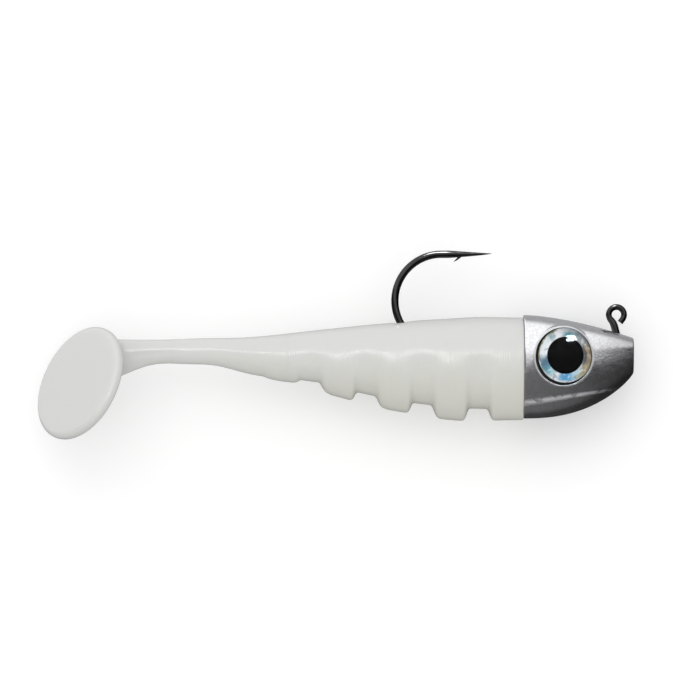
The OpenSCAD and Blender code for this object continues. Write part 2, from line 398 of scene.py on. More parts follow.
class Skin:
    """The soft body's outer surface, sampled from the CAD along x and round each section."""

    def __init__(self, end):
        """Samples the skin from the head back to end."""
        tree = soft_tree()
        count = int((JOIN_X - end) / SKIN_STEP)
        self.x = JOIN_X - HEAD_GAP - np.arange(count) * SKIN_STEP
        back = np.array([[self.height(tree, x, SKIN_REACH)] for x in self.x])
        belly = np.array([[self.height(tree, x, -SKIN_REACH)] for x in self.x])
        top = soften(close_gaps(back, TUNNEL_ROOM), BACK_EVEN)[:, 0]
        bottom = soften(close_gaps(belly, SLOT_ROOM), BELLY_EVEN)[:, 0]
        self.centre = (top + bottom) / 2
        self.angle = 2 * math.pi * (np.arange(SKIN_RING) + RING_OFFSET) / SKIN_RING
        places = list(zip(self.x, self.centre))
        radii = np.array([[self.radius(tree, x, z, a) for a in self.angle] for x, z in places])
        upward = np.sin(self.angle)
        slots = np.min([abs(self.x - x) for x in FLEX_X.values()], axis=0) < SLOT_REACH
        closed = np.where(slots[:, None], close_gaps(radii, SLOT_ROOM), radii)
        closed = smooth_round(np.where(upward > 0.5, close_gaps(radii, TUNNEL_ROOM), closed))
        ribbed = smoothstep(0.1, -0.5, upward)
        self.radii = soften(closed, FLANK_EVEN) * (1 - ribbed) + soften(closed, RIB_ROUND) * ribbed
        self.radii += self.swell() + self.lines()

    @staticmethod
    def height(tree, x, start):
        """Height of the skin's middle line, seen from far above or below, a hair off centre to miss edges."""
        down = Vector((0, 0, -math.copysign(1, start)))
        starts = (Vector((x + shift, 0.013 * MM, start)) for shift in (0, SKIN_STEP, -SKIN_STEP))
        tries = (tree.ray_cast(place, down)[0] for place in starts)
        return next(hit.z for hit in tries if hit)

    @staticmethod
    def radius(tree, x, z, angle):
        """Distance from a section's centre to the skin, seen from far out."""
        out = Vector((0, math.cos(angle), math.sin(angle)))
        middle = Vector((x, 0, z))
        hit = tree.ray_cast(middle + out * SKIN_REACH, -out, SKIN_REACH)[0]
        return (hit - middle).length if hit else 0.0

    def swell(self):
        """Low swells up the flanks over each belly rib."""
        belly = self.radii[:, 3 * SKIN_RING // 4]
        steady = soften(belly[:, None], RIB_PITCH / 2.2)[:, 0]
        rib = soften(np.clip((belly - steady) / MM, -1, 1)[:, None], SWELL_EVEN)
        flank = np.exp(-((np.sin(self.angle) + 0.1) / 0.45) ** 2)
        return RIB_SWELL * rib * flank[None, :]

    def lines(self):
        """Fine moulding lines across the flanks, strongest toward the head."""
        forward = 0.3 + 0.7 * smoothstep(JOIN_X - LINES_FADE, JOIN_X - LINES_FULL, self.x)
        turns = 2 * math.pi * (self.x - self.x[0]) / LINE_PITCH
        rise = forward * (0.7 + 0.3 * np.cos(turns / 7.3)) * np.cos(turns)
        flank = np.exp(-((np.sin(self.angle) - 0.10) / 0.42) ** 4)
        return LINE_RISE * rise[:, None] * flank[None, :]

    def rows(self, start, end):
        """Rows of points between two places along the body, with both ends on their planes."""
        inside = [i for i, x in enumerate(self.x) if end < x < start - SKIN_STEP / 4]
        stations = [start] + [self.x[i] for i in inside if self.x[i] > end + SKIN_STEP / 4] + [end]
        return np.array([self.section(x) for x in stations])

    def section(self, x):
        """Ring of points at one place along the body."""
        place = np.clip((self.x[0] - x) / SKIN_STEP, 0, len(self.x) - 1.001)
        low, share = int(place), place - int(place)
        radii = self.radii[low] * (1 - share) + self.radii[low + 1] * share
        centre = self.centre[low] * (1 - share) + self.centre[low + 1] * share
        return np.stack([np.full(SKIN_RING, x), radii * np.cos(self.angle),
                         centre + radii * np.sin(self.angle)], -1)


def dimple(rows, x):
    """Sinks the back a little round the hook's exit."""
    back = rows[..., 2].max()
    distance = np.hypot(rows[..., 0] - x, rows[..., 1])
    near = np.exp(-(distance / DIMPLE_WIDTH) ** 2) * (rows[..., 2] > back - BEND_DEPTH)
    rows[..., 2] -= DIMPLE_DEPTH * near


def round_front(rows):
    """Rounds the body's front edge, next to the head."""
    depth = np.clip(1 - (JOIN_X - rows[:, :, 0]) / FRONT_EDGE, 0, 1)
    shrink = FRONT_EDGE * (1 - np.sqrt(1 - depth ** 2))
    centre = rows.mean(1, keepdims=True)
    out = rows - centre
    out[..., 0] = 0
    length = np.linalg.norm(out, axis=-1, keepdims=True)
    return rows - out / length * shrink[..., None]


def paddle_disc():
    """(points, faces) of the paddle about its own axis, +Z to the rear: flat faces, rounded rim."""
    radius, half = PADDLE_FLAT_R + PADDLE_HALF_T, PADDLE_HALF_T
    spokes = [radius * k / 12 for k in range(11)]
    steps = [math.radians(a) for a in range(-84, 85, 12)]
    rim = [(radius - half + half * abs(math.cos(a)) ** 0.9,
            half * math.copysign(abs(math.sin(a)) ** 0.9, a)) for a in steps]
    front = [(r, -half) for r in spokes if r < radius - half]
    rear = [(r, half) for r in spokes if r < radius - half]
    return lathe(front + rim + rear[::-1], ring=128)


def root_reach():
    """How far the root runs past its flex line before it meets the paddle's near face."""
    root = Vector((FLEX_X["paddle_flex"], 0, JOINT_HIGH - BEND_DEPTH))
    return (PADDLE_MIDDLE - root).dot(PADDLE_NORMAL) - PADDLE_HALF_T


def paddle_root(skin, start):
    """Rows from the tail stalk through the bent root into the paddle's middle plane."""
    flex = FLEX_X["paddle_flex"]
    bend_from, bend_to = flex + ROOT_BEND, flex - root_reach()
    rows = list(skin.rows(start, flex - ROOT_SAMPLED))
    straight = turned(np.array(PADDLE_MIDDLE), -PADDLE_YAW)
    lean = math.atan2(PADDLE_NORMAL.z, math.hypot(PADDLE_NORMAL.x, PADDLE_NORMAL.y))
    final = rows[-1]
    middle_z = final[:, 2].mean()
    for k in range(1, ROOT_STEPS + 1):
        t = k / ROOT_STEPS
        row = final.copy()
        row[:, 1] *= 1 + 0.16 * t + 0.55 * t ** 5                        # flares into the disc
        row[:, 2] = middle_z + (row[:, 2] - middle_z) * (1 - 0.04 * t)
        plane = straight[0] + (row[:, 2] - straight[2]) * math.tan(lean)
        row[:, 0] = final[:, 0] * (1 - t) + plane * t
        rows.append(row)
    rows = np.array(rows)
    bent = smoothstep(bend_from, bend_to, rows[..., 0]) * PADDLE_YAW
    return turned(rows, bent)


def soft_material():
    """White soft plastic: cooler on the back, warmer below, with fine moulding lines across it."""
    g = Finish("soft_white")
    x, y, z = g.split(g.rest)
    cloud = g.noise(g.rest, 110, 2)
    height = g.math("ADD", z, g.math("MULTIPLY", g.math("SUBTRACT", cloud, 0.5), 4 * MM))
    low = g.math("MULTIPLY", g.range(height, JOINT_HIGH - 2 * MM, JOINT_HIGH - 15 * MM),
                 g.range(x, FLEX_X["paddle_flex"], FLEX_X["stalk_flex"], 0.15, 1.0))
    tone = g.mix(low, rgb(0.62, 0.625, 0.617), rgb(0.595, 0.595, 0.54))
    speck = g.range(g.noise(g.rest, 900, 2), 0.35, 0.7)
    tone = g.mix(g.math("MULTIPLY", speck, 0.10), tone, rgb(0.66, 0.66, 0.64))
    flow = g.noise(g.stretch(g.rest, 1, 0.15, 0.15), 700, 2)
    grain = g.noise(g.rest, 2600, 3, 0.6)
    normal = g.bump(grain, 0.004 * MM, 0.5, g.bump(flow, 0.02 * MM, 0.6))
    g.set(Base_Color=tone, Roughness=0.42, Normal=normal, Specular_IOR_Level=0.35,
          Subsurface_Weight=0.25, Subsurface_Scale=0.6 * MM, Subsurface_Radius=(1.0, 0.9, 0.7),
          Coat_Weight=0.45, Coat_Roughness=g.range(cloud, 0.3, 0.7, 0.08, 0.13), Coat_Normal=normal)
    return g.material


def soft_body():
    """The skin in three lengths, each across one flex line."""
    white = soft_material()
    skin = Skin(FLEX_X["paddle_flex"] - ROOT_SAMPLED - 0.2 * MM)
    first_seam = (FLEX_X["rear_flex"] + FLEX_X["stalk_flex"]) / 2 - 0.6 * MM     # between two flex lines
    second_seam = FLEX_X["stalk_flex"] - 9 * MM                                 # clear of the flex lines on either side

    rows = round_front(skin.rows(JOIN_X, first_seam))
    dimple(rows, HOOK_LOW.x + EXIT_AHEAD)
    front = build("soft_body_front", [tube(rows)])
    finish_piece(front, white, replaces=("body_front", "body_rear"))
    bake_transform(front)

    tail = build("soft_body_rear", [tube(skin.rows(first_seam, second_seam))])
    finish_piece(tail, white, replaces=("tail_stalk",))
    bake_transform(tail)

    end = build("soft_tail_paddle", [tube(paddle_root(skin, second_seam))])
    turn = PADDLE_NORMAL.to_track_quat("Z", "Y").to_matrix().to_4x4()
    disc = build("disc", [paddle_disc()], Matrix.Translation(PADDLE_MIDDLE) @ turn)
    boolean(end, disc, "UNION")
    finish_piece(end, white, replaces=("tail_paddle",), sharp=50)
    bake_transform(end)


# --- Lead head ------------------------------------------------------------------------------

HEAD_STATIONS = 150
HEAD_RING = 160
HEAD_ROUNDNESS = 2.4             # exponent of the head's sections at the joint
NOSE_ROUNDNESS = 3.2             # and at the nose
HEAD_VOXEL = 0.12 * MM
EYE_RING = 128                   # points round an eye's discs and its cup
CHEEK_LINE = 2.65 * MM           # height of the cheeks' ridge and its painted highlight streak over the head's underside, at the joint
CHEEK_RISE = 2.8 * MM            # and how much it climbs to the nose
CUP_BACK = 0.45 * MM             # the cups lie this far behind the eyes, which are glued in forward
CUP_ROOM = 0.25 * MM             # an eye cup is this much wider than its eye, all round
CUP_DEEP = 0.34 * MM             # depth of the socket under the foil's face
CUP_HIGH = 0.75 * MM             # height of the rim over the foil's face
RIM_WIDTH = 0.30 * MM            # width of an eye cup's rim
SHADED_SOCKET, RIM = 1, 2               # material places of the socket's painted shade and the rim's finish on the head


def head_sections():
    """Rows of the head from the joint plane to the flat nose; the ends are read from the CAD."""
    points = corners("lead_head")
    rear = points[(abs(points[:, 0] - JOIN_X) < 0.01 * MM)]
    nose_x = points[:, 0].max()
    nose = points[points[:, 0] > nose_x - 0.01 * MM]
    rear_wide = rear[np.argmax(rear[:, 1])]
    nose_wide = nose[np.argmax(nose[:, 1])]
    a = 2 * math.pi * np.arange(HEAD_RING) / HEAD_RING
    rows = []
    for u in 1 - (1 - np.linspace(0, 1, HEAD_STATIONS)) ** 1.3:
        power = 2 / (HEAD_ROUNDNESS + (NOSE_ROUNDNESS - HEAD_ROUNDNESS) * u ** 2)
        round_y = np.sign(np.cos(a)) * abs(np.cos(a)) ** power
        round_z = np.sign(np.sin(a)) * abs(np.sin(a)) ** power
        top = rear[:, 2].max() - (rear[:, 2].max() - nose[:, 2].max()) * u ** 1.6
        fall = 1 - (1 - u ** 2.4) ** 0.85
        bottom = rear[:, 2].min() + (nose[:, 2].min() - rear[:, 2].min()) * fall
        half = nose_wide[1] + (rear_wide[1] - nose_wide[1]) * (1 - u ** 2.3)
        middle = rear_wide[2] + (nose_wide[2] - rear_wide[2]) * u
        tall = np.where(round_z > 0, top - middle, middle - bottom)
        cheek = rear[:, 2].min() + CHEEK_LINE + CHEEK_RISE * u
        z = middle + tall * round_z
        ridge = 1 + 0.012 * np.exp(-((z - cheek) / (0.35 * MM)) ** 2)
        x = JOIN_X + (nose_x - JOIN_X) * u
        rows.append(np.stack([np.full(HEAD_RING, x), half * round_y * ridge, z], -1))
    return np.array(rows)


def eye_place(side):
    """(matrix with +Z out of the eye and its origin on the foil's outer face, foil radius)."""
    node = "eye_foil_" + side
    low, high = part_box(node)
    sideways = Vector((0, -1 if side == "right" else 1, 0))
    out = mean_normal(node, lambda normal: normal.dot(sideways) > 0.9)
    surface = max(Vector(p).dot(out) for p in corners(node))
    centre = (low + high) / 2
    centre += out * (surface - centre.dot(out))
    turn = out.to_track_quat("Z", "Y").to_matrix().to_4x4()
    return Matrix.Translation(centre) @ turn, (high.z - low.z) / 2


def pupil_radius(side):
    """Radius of an eye's pupil."""
    low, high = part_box("eye_pupil_" + side)
    return (high.z - low.z) / 2


def cup_place(side):
    """(matrix, inner radius) of the eye cup, with its origin level with the foil's outer face."""
    matrix, radius = eye_place(side)
    back = matrix.to_3x3().inverted() @ Vector((-1, 0, -0.5))
    back.z = 0
    return matrix @ Matrix.Translation(back.normalized() * CUP_BACK), radius + CUP_ROOM


def lead_material():
    """Satin cast lead: fine grain, faint brushing along the head, and a painted highlight streak low on each
    cheek.
    """
    g = Finish("cast_lead")
    x, y, z = g.split(g.rest)
    grain = g.noise(g.rest, 2400, 3, 0.7)
    brushed = g.noise(g.stretch(g.rest, 0.25, 1, 1), 2600, 2, 0.6)
    cloud = g.noise(g.rest, 260, 3)
    low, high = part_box("lead_head")
    along = g.math("DIVIDE", g.math("SUBTRACT", x, JOIN_X), high.x - JOIN_X)
    cheek = g.math("ADD", g.math("MULTIPLY", along, CHEEK_RISE), low.z + CHEEK_LINE)
    wide = g.range(along, 0.0, 0.9, 0.75 * MM, 0.35 * MM)
    off = g.math("DIVIDE", g.math("ABSOLUTE", g.math("SUBTRACT", z, cheek)), wide)
    # painted highlight: a lighter, rougher, less metallic streak along the cheek ridge, broken up by noise
    painted_streak = g.math("MULTIPLY", g.range(off, 1.0, 0.0), g.range(g.noise(g.rest, 1300, 2, 0.5), 0.2, 0.55))
    painted_streak = g.math("MULTIPLY", painted_streak, g.range(along, 0.85, 0.5, 0.05, 0.9))
    tone = g.mix(g.range(cloud, 0.3, 0.7), rgb(0.80, 0.80, 0.82), rgb(0.88, 0.88, 0.90))
    tone = g.mix(g.range(grain, 0.42, 0.62), rgb(0.76, 0.76, 0.79), tone)
    tone = g.mix(g.math("MULTIPLY", painted_streak, 0.8), tone, rgb(0.85, 0.85, 0.87))
    rough = g.math("ADD", g.range(brushed, 0.3, 0.7, 0.16, 0.23), g.math("MULTIPLY", painted_streak, 0.5))
    normal = g.bump(grain, 0.02 * MM, 0.55, g.bump(brushed, 0.010 * MM, 0.35))
    # the painted highlight streak is less metallic, so it is lit more evenly
    metal_share = g.math("SUBTRACT", 1.0, g.math("MULTIPLY", painted_streak, 0.35))
    g.set(Base_Color=tone, Metallic=metal_share, Roughness=rough, Normal=normal)
    return g.material


def socket_shade_material():
    """Painted shade inside an eye socket: near black and dull, mottled by noise."""
    g = Finish("socket_dark")
    # painted shade: two near blacks mixed by noise
    shade_noise = g.noise(g.rest, 1500, 3)
    g.set(Base_Color=g.mix(shade_noise, rgb(0.012, 0.012, 0.013), rgb(0.04, 0.04, 0.042)), Roughness=0.6,
          Specular_IOR_Level=0.2)
    return g.material


def rim_material():
    """Bright worn rim of an eye cup."""
    g = Finish("rim_bright")
    worn = g.noise(g.rest, 900, 3)
    g.set(Base_Color=g.mix(worn, rgb(0.80, 0.80, 0.82), rgb(0.98, 0.98, 1.0)), Metallic=1.0, Roughness=0.5)
    return g.material


def head():
    """Cast head: lofted body, a raised cup round each eye, sockets cut to the CAD's depth."""
    shells = [tube(head_sections())]
    for side in SIDES:
        matrix, radius = cup_place(side)
        boss = [(0, -3 * MM), (radius + 0.5 * MM, -2.6 * MM), (radius + 0.42 * MM, -0.6 * MM),
                (radius + 0.36 * MM, 0.4 * MM), (0, 0.4 * MM)]
        points, faces = lathe(boss)
        shells.append(([matrix @ Vector(p) for p in points], faces))
    cast = build("cast_head", shells)
    remesh(cast, HEAD_VOXEL, 4)
    for side in SIDES:
        matrix, radius = cup_place(side)
        edge = radius + RIM_WIDTH
        rim = [(0, -1 * MM), (edge, -1 * MM), (edge, CUP_HIGH - 0.13 * MM),
               (edge - 0.04 * MM, CUP_HIGH - 0.04 * MM), (edge - 0.13 * MM, CUP_HIGH), (0, CUP_HIGH)]
        boolean(cast, build("rim", [lathe(rim, EYE_RING)], matrix), "UNION")
        lip = radius + 0.07 * MM
        socket = [(0, -CUP_DEEP), (radius, -CUP_DEEP), (radius, CUP_HIGH - 0.07 * MM),
                  (lip, CUP_HIGH + 0.05 * MM), (lip, 3 * MM), (0, 3 * MM)]
        boolean(cast, build("socket", [lathe(socket, EYE_RING)], matrix), "DIFFERENCE")
    finish_piece(cast, lead_material(), "head", ["lead_head"], sharp=35)
    # second and third materials: the sockets' painted shade and the rims' finish
    cast.data.materials.append(socket_shade_material())
    cast.data.materials.append(rim_material())
    for side in SIDES:
        paint_cup(cast, side)


def paint_cup(cast, side):
    """Gives the faces inside a cup the socket's painted shade and those on its edge the rim's finish."""
    matrix, radius = cup_place(side)
    local = matrix.inverted()
    near = 0.02 * MM
    for face in cast.data.polygons:
        place = local @ face.center
        reach = math.hypot(place.x, place.y)
        if reach < radius + near and -1 * MM < place.z < CUP_HIGH - 0.06 * MM:
            # faces inside the socket get the painted shade
            face.material_index = SHADED_SOCKET
        elif reach < radius + RIM_WIDTH + near and CUP_HIGH - 0.17 * MM < place.z < 1 * MM:
            face.material_index = RIM


# --- Eyes -----------------------------------------------------------------------------------

FOIL_TEAR = 0.0012               # how far noise tears the foil's patches out of shape, in metres
FOIL_THICK = 0.12 * MM
PUPIL_THICK = 0.04 * MM
PAD_THICK = 0.2 * MM
PAD_INSET = 0.15 * MM            # the pad is this much narrower, all round
DISC_ROWS = 24
DOME_STEPS = 24
DOME_GLOSS = 0.08                # share of a clear resin's mirror strength that the worn dome keeps


def thin_disc(name, matrix, radius, height, thickness):
    """Thin flat disc with its upper face at a height over the foil's face."""
    upper = [(radius * (1 - k / DISC_ROWS), height) for k in range(DISC_ROWS)]
    profile = [(0, height - thickness), (radius, height - thickness)] + upper + [(0, height)]
    return build(name, [lathe(profile, EYE_RING)], matrix)


# Patches of the foil: (angle from the nose towards the back, half width, both degrees, share of the
# ring from the pupil to the rim where each starts and ends, colour)
FOIL_PATCHES = (
    (0, 46, 0.25, 1.2, rgb(0.42, 0.31, 0.17)),
    # painted shade: the dark grey patch on the nose side of the ring, next to the pupil
    (2, 30, -0.2, 0.35, rgb(0.08, 0.08, 0.09)),
    (48, 22, -0.2, 1.2, rgb(0.33, 0.36, 0.38)),
    (82, 20, -0.2, 0.6, rgb(0.13, 0.35, 0.42)),
    (112, 15, -0.2, 1.2, rgb(1.0, 1.0, 1.0)),
    (134, 12, 0.2, 0.8, rgb(0.15, 0.36, 0.40)),
    (160, 28, -0.2, 0.85, rgb(0.93, 0.99, 1.0)),
    (150, 40, 0.82, 1.2, rgb(0.34, 0.30, 0.14)),
    (203, 20, -0.2, 0.9, rgb(0.07, 0.18, 0.28)),
    (228, 14, -0.2, 0.9, rgb(0.13, 0.45, 0.55)),
    (247, 12, 0.0, 1.2, rgb(1.0, 1.0, 1.0)),
    (275, 22, -0.2, 0.8, rgb(0.06, 0.36, 0.66)),
    (300, 14, -0.2, 0.9, rgb(0.55, 0.75, 0.82)),
    (318, 20, 0.5, 1.2, rgb(0.48, 0.42, 0.24)),
)


def foil_material(side):
    """Silver holographic foil: patches of white, blue and gold that lie round the ring, with torn edges; a dark
    grey patch next to the pupil on the nose side is painted shade.
    """
    g = Finish("holo_foil_" + side)
    matrix, radius = eye_place(side)
    inner = pupil_radius(side)
    local = g.node("VectorMath", {0: g.rest, 1: tuple(matrix.translation)}, operation="SUBTRACT").outputs[0]
    torn = g.node("TexNoise", {"Vector": local, "Scale": 700.0, "Detail": 3.0, "Roughness": 0.65}).outputs[1]
    torn = g.node("VectorMath", {0: torn, 1: (0.5, 0.5, 0.5)}, operation="SUBTRACT").outputs[0]
    tear = (FOIL_TEAR, FOIL_TEAR, FOIL_TEAR)
    torn = g.node("VectorMath", {0: torn, 1: tear, 2: local}, operation="MULTIPLY_ADD").outputs[0]
    x, y, z = g.split(torn)
    far = g.math("SQRT", g.math("ADD", g.math("MULTIPLY", x, x), g.math("MULTIPLY", z, z)))
    share = g.math("DIVIDE", g.math("SUBTRACT", far, inner), radius - inner)
    fine = g.noise(local, 2300, 3, 0.7)
    colour = g.mix(g.range(fine, 0.35, 0.65), rgb(0.45, 0.50, 0.52), rgb(0.80, 0.84, 0.85))
    for angle, width, start, end, patch in FOIL_PATCHES:
        a = math.radians(angle)
        ahead = g.math("ADD", g.math("MULTIPLY", x, math.cos(a)), g.math("MULTIPLY", z, math.sin(a)))
        turned_to = g.math("DIVIDE", ahead, far)
        edge = math.cos(math.radians(width))
        mask = g.range(turned_to, edge - 0.06, edge + 0.06)
        mask = g.math("MULTIPLY", mask, g.range(share, start - 0.08, start + 0.08))
        mask = g.math("MULTIPLY", mask, g.range(share, end + 0.08, end - 0.08))
        colour = g.mix(g.math("MULTIPLY", mask, 0.95), colour, patch)
    streak = g.noise(local, 1300, 2, 0.6)
    colour = g.mix(g.math("MULTIPLY", g.range(streak, 0.56, 0.68), 0.5), colour, rgb(0.95, 0.97, 0.98))
    colour = g.mix(g.math("MULTIPLY", g.range(streak, 0.44, 0.34), 0.45), colour, rgb(0.10, 0.13, 0.15))
    g.set(Base_Color=colour, Metallic=0.0, Roughness=0.3, Normal=g.bump(fine, 0.012 * MM, 0.5))
    return g.material


def pupil_material():
    """Matt black print."""
    g = Finish("pupil_black")
    speckle = g.noise(g.rest, 1500, 2)
    g.set(Base_Color=g.mix(speckle, rgb(0.002, 0.002, 0.002), rgb(0.005, 0.005, 0.005)), Roughness=0.5,
          Specular_IOR_Level=0.0)
    return g.material


def pad_material():
    """White foam tape."""
    g = Finish("foam_pad")
    cells = g.noise(g.rest, 3000, 3, 0.7)
    g.set(Base_Color=g.mix(cells, rgb(0.7, 0.7, 0.68), rgb(0.85, 0.85, 0.82)), Roughness=0.8,
          Normal=g.bump(cells, 0.02 * MM))
    return g.material


def dome_material():
    """Clear resin: what lies under it shows through, and its skin mirrors the lights."""
    g = Finish("clear_dome")
    out = g.nodes["Material Output"]
    fresnel = g.node("Fresnel", {"IOR": 1.5}).outputs[0]
    weak = g.math("MULTIPLY", fresnel, DOME_GLOSS)
    clear = g.node("BsdfTransparent", {"Color": rgb(0.98, 0.985, 0.99)}).outputs[0]
    wavy = g.bump(g.noise(g.rest, 300, 1), 0.005 * MM, 0.3)
    gloss = g.node("BsdfGlossy", {"Color": rgb(1, 1, 1), "Roughness": 0.02, "Normal": wavy}).outputs[0]
    both = g.node("MixShader", {0: weak, 1: clear, 2: gloss}).outputs[0]
    g.links.new(both, out.inputs["Surface"])
    return g.material


def dome_height(side):
    """How far the CAD's dome stands above the foil."""
    matrix, _ = eye_place(side)
    local = matrix.inverted()
    return max((local @ Vector(p)).z for p in corners("eye_dome_" + side))


def dome_profile(radius, pupil_r, rise):
    """Profile of the dome: a cap over the foil, hollowed underneath where the pupil lies."""
    bulge = (radius ** 2 + rise ** 2) / (2 * rise)
    spread = math.asin(radius / bulge)
    turns = [spread * (1 - k / DOME_STEPS) for k in range(DOME_STEPS + 1)]
    cap = [(bulge * math.sin(t), rise - bulge + bulge * math.cos(t)) for t in turns]
    over_foil, over_pupil = 0.005 * MM, PUPIL_THICK + 0.01 * MM
    under = [(0, over_pupil), (pupil_r, over_pupil), (pupil_r + 0.05 * MM, over_foil), (radius, over_foil)]
    return under + cap


def eyes():
    """Foam pad and pupil as thin discs, patterned foil, and a smooth resin dome."""
    pupil, pad, dome = pupil_material(), pad_material(), dome_material()
    for side in SIDES:
        matrix, radius = eye_place(side)
        pupil_r = pupil_radius(side)
        foil = thin_disc("foil_" + side, matrix, radius, 0, FOIL_THICK)
        finish_piece(foil, foil_material(side), "head", ["eye_foil_" + side])
        spot = thin_disc("pupil_" + side, matrix, pupil_r, PUPIL_THICK, PUPIL_THICK)
        finish_piece(spot, pupil, "head", ["eye_pupil_" + side])
        foam = thin_disc("pad_" + side, matrix, radius - PAD_INSET, -FOIL_THICK, PAD_THICK)
        finish_piece(foam, pad, "head", ["eye_pad_" + side])
        profile = dome_profile(radius, pupil_r, dome_height(side))
        glassy = build("dome_" + side, [lathe(profile, EYE_RING)], matrix)
        finish_piece(glassy, dome, "head", ["eye_dome_" + side], sharp=30)


# --- Jig hook -------------------------------------------------------------------------------

WIRE_RING = 24
WIRE_R = (HOOK_HIGH.y - HOOK_LOW.y) / 2
SPEAR_STEPS = 30                 # the spear is the straight length with the point
POINT_RISE = 0.12 * MM           # how far the point turns up
POINT_TAPER = 0.85               # share of the spear that tapers to the point
NECK_FOOT_R = 1.6 * MM           # bend from the shank up into the neck
NECK_FOOT_BACK = 1.5 * MM        # its centre lies this far behind the loop's
NECK_LEAN = 15                   # lean of the neck from upright, in degrees
LOOP_START, LOOP_END = 225, -36  # the loop's arc, in degrees from +X towards +Z
LOOP_TIP = (0.62 * MM, -1.30 * MM)       # the wire's cut end, next to the neck
FLAT_SHARE = 0.86                # the bend is forged this much flatter
FLAT_REACH = 8.5 * MM            # out to here from the bend's centre
BARB_BACK, BARB_SINK = 5.1 * MM, 0.05 * MM       # the barb's root, from the point's tip
BARB_LONG, BARB_DROP = 1.35 * MM, 1.22 * MM      # and its own tip from there


def arc(centre, radius, start, end, steps):
    """Points of a circle in the middle plane; angles in degrees from +X towards +Z."""
    return [(centre[0] + radius * math.cos(math.radians(start + (end - start) * k / steps)),
             centre[1] + radius * math.sin(math.radians(start + (end - start) * k / steps)))
            for k in range(steps + 1)]


def onward(place, degrees, distance):
    """The point at a distance from a place, in a direction in the middle plane."""
    a = math.radians(degrees)
    return place[0] + distance * math.cos(a), place[1] + distance * math.sin(a)


def bezier(a, b, c, d, steps):
    """Points of a cubic curve from a to d, steered by b and c."""
    a, b, c, d = (np.array(p) for p in (a, b, c, d))
    shares = [k / steps for k in range(steps + 1)]
    return [tuple(a * (1 - t) ** 3 + 3 * b * t * (1 - t) ** 2 + 3 * c * t * t * (1 - t) + d * t ** 3)
            for t in shares]


def stepped(start, end, steps):
    """Points along a straight line, without its start."""
    return [(start[0] + (end[0] - start[0]) * k / steps, start[1] + (end[1] - start[1]) * k / steps)
            for k in range(1, steps + 1)]


def hook_path():
    """Middle line of the wire from the point's tip to the loop's cut end, with a radius at each place."""
    shank_z = HOOK_LOW.z + WIRE_R
    point_z = HOOK_HIGH.z - WIRE_R
    bend_r = (point_z - shank_z) / 2
    bend = (HOOK_LOW.x + WIRE_R + bend_r, shank_z + bend_r)
    points = corners("jig_hook")
    tip_x = points[points[:, 2] > point_z - 0.2 * MM][:, 0].max()
    hole_r = frame["record"]["mounts"][0]["dims"]["r_mm"] * MM
    loop_r, loop_wire = (HOOK_HIGH.x + hole_r) / 2, (HOOK_HIGH.x - hole_r) / 2
    reach = tip_x - bend[0]
    shares = [k / SPEAR_STEPS for k in range(SPEAR_STEPS)]
    spear = [(tip_x - reach * t ** 1.6, point_z + POINT_RISE * (1 - t) ** 2) for t in shares]
    curve = arc(bend, bend_r, 90, 270, 72)
    foot = (-NECK_FOOT_BACK, shank_z + NECK_FOOT_R)
    shank = stepped((bend[0], shank_z), (foot[0], shank_z), 12)[:-1]
    neck = arc(foot, NECK_FOOT_R, -90, NECK_LEAN, 12)
    loop = arc((0, 0), loop_r, LOOP_START, LOOP_END, 48)
    climb = bezier(neck[-1], onward(neck[-1], 90 + NECK_LEAN, 1.0 * MM),
                   onward(loop[0], LOOP_START + 90, 0.75 * MM), loop[0], 16)[1:-1]
    path = spear + curve + shank + neck + climb + loop + stepped(loop[-1], LOOP_TIP, 3)
    thick = len(spear + curve + shank + neck) + len(climb) // 2
    radii = []
    for i, (x, _) in enumerate(path):
        if i < len(spear):
            radii.append(WIRE_R * (0.02 + 0.98 * min(1, (tip_x - x) / reach / POINT_TAPER) ** 0.8))
        else:
            radii.append(WIRE_R + (loop_wire - WIRE_R) * float(smoothstep(thick, thick + 14, i)))
    return path, radii, bend, (tip_x, point_z)


def sweep(path, radii, flatten):
    """(points, faces) of a wire along a path in the middle plane; flatten gives each place's width share."""
    path = np.array(path)
    along = np.gradient(path, axis=0)
    along /= np.linalg.norm(along, axis=1)[:, None]
    side = np.stack([-along[:, 1], along[:, 0]], -1)
    angles = 2 * math.pi * np.arange(WIRE_RING) / WIRE_RING
    rows = []
    for (x, z), (side_x, side_z), radius, share in zip(path, side, radii, flatten):
        in_plane, across = radius * np.cos(angles), radius * share * np.sin(angles)
        rows.append(np.stack([x + side_x * in_plane, across, z + side_z * in_plane], -1))
    return tube(np.array(rows))


def nickel_material():
    """Black nickel plate over steel wire."""
    g = Finish("black_nickel")
    drawn = g.noise(g.rest, 1800, 2, 0.6)
    tone = g.mix(g.range(g.noise(g.rest, 500, 2), 0.3, 0.7), rgb(0.030, 0.029, 0.030), rgb(0.05, 0.048, 0.05))
    g.set(Base_Color=tone, Metallic=1.0, Roughness=g.range(drawn, 0.3, 0.7, 0.14, 0.22),
          Normal=g.bump(drawn, 0.003 * MM, 0.5), Coat_Weight=0.3, Coat_Roughness=0.08)
    return g.material


